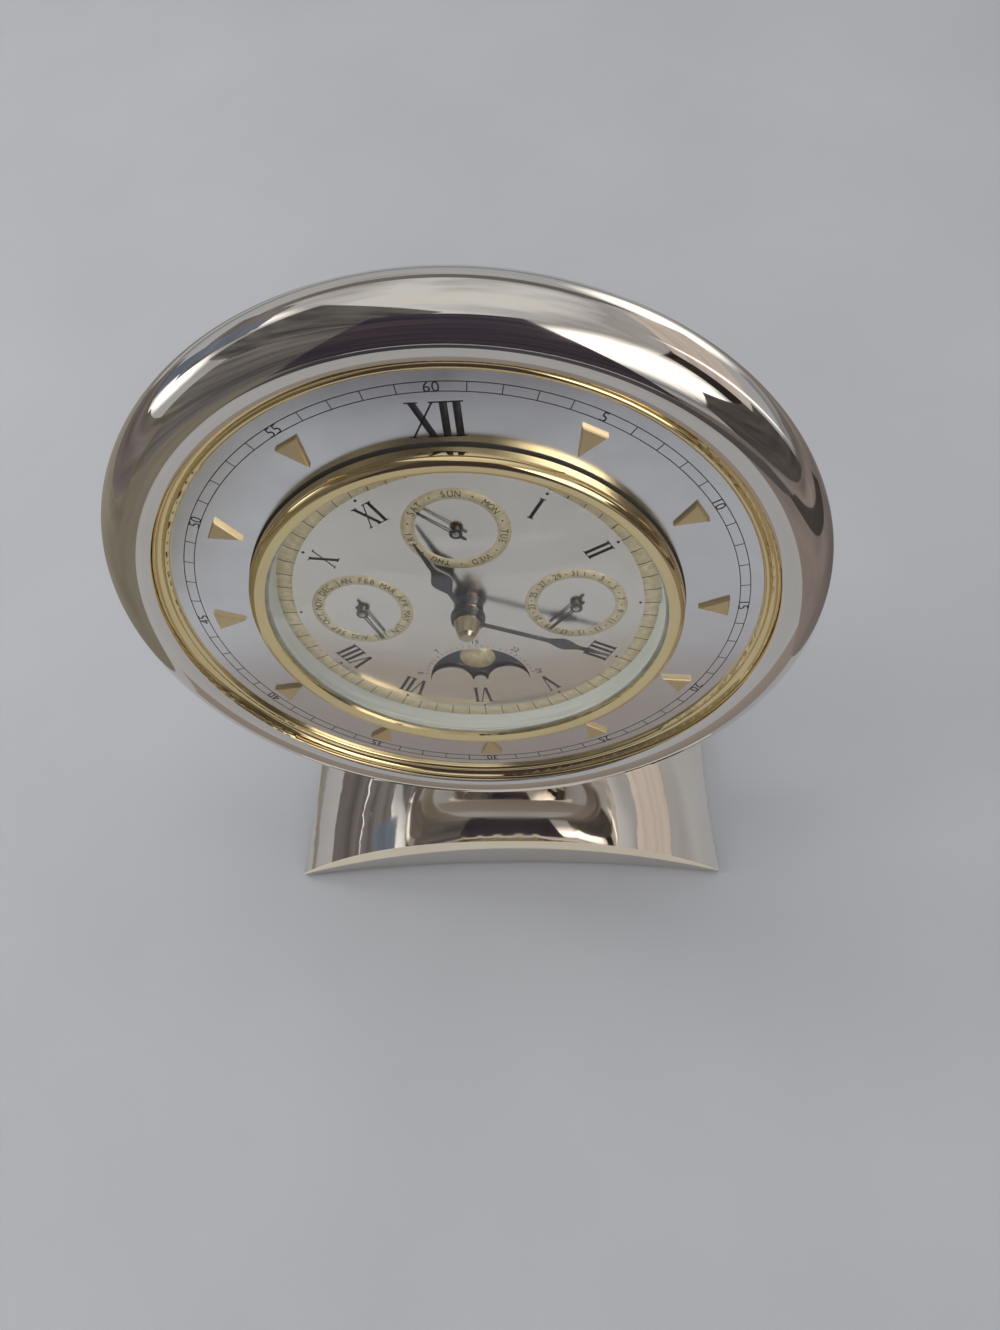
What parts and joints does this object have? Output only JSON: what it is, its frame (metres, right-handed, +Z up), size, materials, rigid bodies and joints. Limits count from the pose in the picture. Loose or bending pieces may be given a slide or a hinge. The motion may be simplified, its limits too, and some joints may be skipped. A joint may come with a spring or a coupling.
{
  "type": "moon phase desk clock",
  "caption": "Desk clock: a leaning round ring case on a flared arched pedestal, with hour and minute hands, day, date and month pointers and a moon disc.",
  "frame": {"origin": "centre of the foot's outline on the table surface", "axes": "+Z up, +Y to the back of the clock, +X to the right as seen from the front; the dial faces -Y and leans back 10.5 degrees"},
  "size_m": [0.1716, 0.088, 0.211],
  "materials": {
    "polished_nickel": "mirror-polished warm nickel plate",
    "pedestal_nickel": "mirror-polished warm nickel plate on a cast body",
    "shell_nickel": "satin nickel-plated pressed shell",
    "felt": "black pressed felt",
    "black_steel": "blackened steel",
    "zinc_steel": "zinc-plated steel",
    "gold_trim": "polished gold plate",
    "bezel_gold": "polished gold plate",
    "marker_gold": "satin gold plate",
    "silver_dial": "fine satin silver with black printing",
    "cream_dial": "silvered satin with black printing and matte gold rings",
    "gasket_rubber": "matte black",
    "crystal_glass": "clear domed glass",
    "rehaut_white": "pale satin",
    "black_lacquer": "gloss black lacquer",
    "bronze_ring": "polished bronze",
    "cap_gold": "polished gold plate",
    "movement_brass": "plain turned brass",
    "moon_blue": "night-blue lacquer with gilt moons",
    "housing_black": "fine-grained moulding",
    "knob_black": "fluted moulding",
    "plunger_plastic": "smooth moulding",
    "cell_sleeve": "printed sleeve with bare metal ends",
    "contact_spring": "nickel-plated spring strip"
  },
  "bodies": {
    "clock_case": {"pedestal": "pedestal_nickel", "foot_pad": "felt", "neck_bolts": "black_steel", "case_ring": "polished_nickel", "rear_rim": "shell_nickel", "drum": "shell_nickel", "case_screws": "zinc_steel", "chapter_plate": "silver_dial", "trim_ring": "gold_trim", "hour_markers": "marker_gold", "bezel_gasket": "gasket_rubber", "bezel_ring": "bezel_gold", "chapter_nut": "movement_brass", "crystal": "crystal_glass", "crystal_seal": "gasket_rubber", "rehaut": "rehaut_white", "inner_dial": "cream_dial", "dial_eyelet": "black_lacquer", "dial_spacer": "housing_black", "calendar_plate": "movement_brass", "ring_nut": "movement_brass", "movement_housing": "housing_black", "housing_screws": "zinc_steel", "battery_contacts": "contact_spring"},
    "minute_train": {"minute_arbor": "movement_brass", "minute_hand": "black_lacquer", "hand_cap": "cap_gold"},
    "minute_wheel_body": {"minute_wheel": "movement_brass"},
    "hour_train": {"hour_wheel": "movement_brass", "hour_hand": "black_lacquer", "hour_collar": "bronze_ring"},
    "setting_train": {"setting_arbor": "zinc_steel", "setting_knob": "knob_black"},
    "day_work": {"day_star": "movement_brass", "day_pointer": "black_lacquer"},
    "date_work": {"date_star": "movement_brass", "date_pointer": "black_lacquer"},
    "month_work": {"month_star": "movement_brass", "month_pointer": "black_lacquer"},
    "moon_work": {"moon_disc": "moon_blue"},
    "battery_cell": {"battery": "cell_sleeve"},
    "day_push": {"day_corrector": "plunger_plastic"},
    "date_push": {"date_corrector": "plunger_plastic"},
    "month_push": {"month_corrector": "plunger_plastic"},
    "moon_push": {"moon_corrector": "plunger_plastic"}
  },
  "joints": [
    {"name": "minute_turn", "type": "hinge", "parent": "clock_case", "child": "minute_train", "pos_m": [0, -0.014, 0.1274], "axis": [0, 0.9833, -0.1822], "continuous": true},
    {"name": "minute_wheel_turn", "type": "hinge", "parent": "clock_case", "child": "minute_wheel_body", "pos_m": [0.00848, -0.01245, 0.13574], "axis": [0, 0.9833, -0.1822], "continuous": true},
    {"name": "hour_turn", "type": "hinge", "parent": "clock_case", "child": "hour_train", "pos_m": [0, -0.014, 0.1274], "axis": [0, 0.9833, -0.1822], "continuous": true},
    {"name": "setting_turn", "type": "hinge", "parent": "clock_case", "child": "setting_train", "pos_m": [0.01697, -0.01091, 0.14409], "axis": [0, 0.9833, -0.1822], "continuous": true},
    {"name": "day_turn", "type": "hinge", "parent": "clock_case", "child": "day_work", "pos_m": [0, -0.00926, 0.15296], "axis": [0, 0.9833, -0.1822], "continuous": true},
    {"name": "date_turn", "type": "hinge", "parent": "clock_case", "child": "date_work", "pos_m": [0.026, -0.014, 0.1274], "axis": [0, 0.9833, -0.1822], "continuous": true},
    {"name": "month_turn", "type": "hinge", "parent": "clock_case", "child": "month_work", "pos_m": [-0.026, -0.014, 0.1274], "axis": [0, 0.9833, -0.1822], "continuous": true},
    {"name": "moon_turn", "type": "hinge", "parent": "clock_case", "child": "moon_work", "pos_m": [0, -0.01936, 0.09849], "axis": [0, 0.9833, -0.1822], "continuous": true},
    {"name": "battery_slide", "type": "slide", "parent": "clock_case", "child": "battery_cell", "axis": [0, 0.9833, -0.1822], "range_m": [0, 0.02]},
    {"name": "day_push_slide", "type": "slide", "parent": "clock_case", "child": "day_push", "axis": [0, -0.9833, 0.1822], "range_m": [0, 0.0016], "stiffness_N_per_m": 300},
    {"name": "date_push_slide", "type": "slide", "parent": "clock_case", "child": "date_push", "axis": [0, -0.9833, 0.1822], "range_m": [0, 0.0016], "stiffness_N_per_m": 300},
    {"name": "month_push_slide", "type": "slide", "parent": "clock_case", "child": "month_push", "axis": [0, -0.9833, 0.1822], "range_m": [0, 0.0016], "stiffness_N_per_m": 300},
    {"name": "moon_push_slide", "type": "slide", "parent": "clock_case", "child": "moon_push", "axis": [0, -0.9833, 0.1822], "range_m": [0, 0.0016], "stiffness_N_per_m": 300}
  ],
  "couplings": [
    {"joint": "minute_wheel_turn", "follows": "minute_turn", "ratio": -0.33333},
    {"joint": "hour_turn", "follows": "minute_turn", "ratio": 0.083333},
    {"joint": "setting_turn", "follows": "minute_turn", "ratio": 1}
  ]
}
